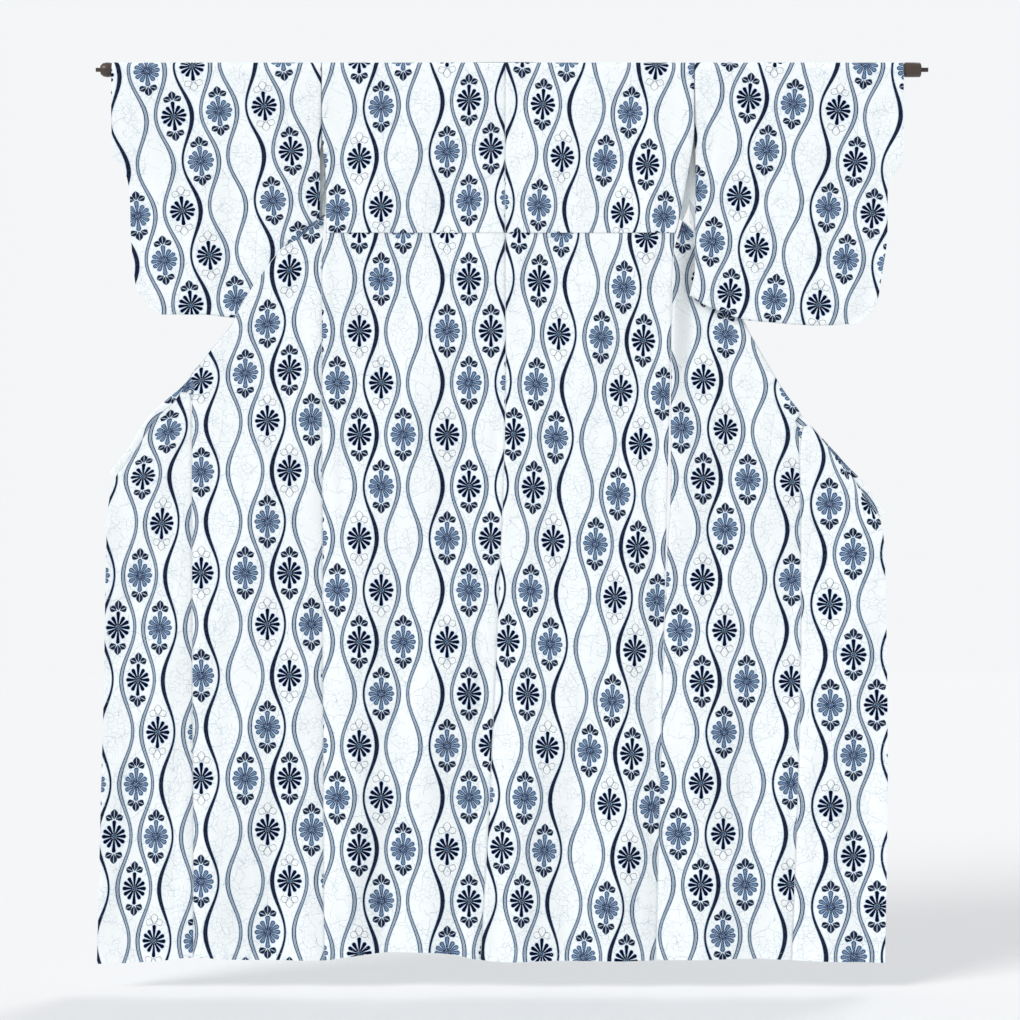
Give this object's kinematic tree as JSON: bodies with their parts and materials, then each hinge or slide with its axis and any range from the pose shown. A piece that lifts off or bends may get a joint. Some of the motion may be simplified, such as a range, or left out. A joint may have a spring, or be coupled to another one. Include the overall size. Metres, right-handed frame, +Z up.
{
  "type": "cotton yukata robe on a hanging rod",
  "caption": "Unlined cotton robe with square sleeves, hung over a slim rod with its back outwards and both fronts drawn open to the sides.",
  "frame": {"origin": "middle of the rod that carries the robe, on the rod's centre line", "axes": "+X along the rod, to the right of someone who faces the robe's back; +Y away from them; +Z up"},
  "size_m": [1.448, 0.0372, 1.5697],
  "materials": {
    "cotton": "white ribbed cotton printed in indigo with wavy lines, flowers and crackle",
    "collar_cotton": "the same printed cotton, folded in several layers",
    "lacquer": "black lacquer, half gloss"
  },
  "bodies": {
    "root": {"back_left": "cotton", "back_right": "cotton", "front_left": "cotton", "front_right": "cotton", "okumi_left": "cotton", "okumi_right": "cotton", "sleeve_left_back": "cotton", "sleeve_left_front": "cotton", "sleeve_right_back": "cotton", "sleeve_right_front": "cotton", "collar": "collar_cotton", "rod": "lacquer"}
  },
  "joints": []
}
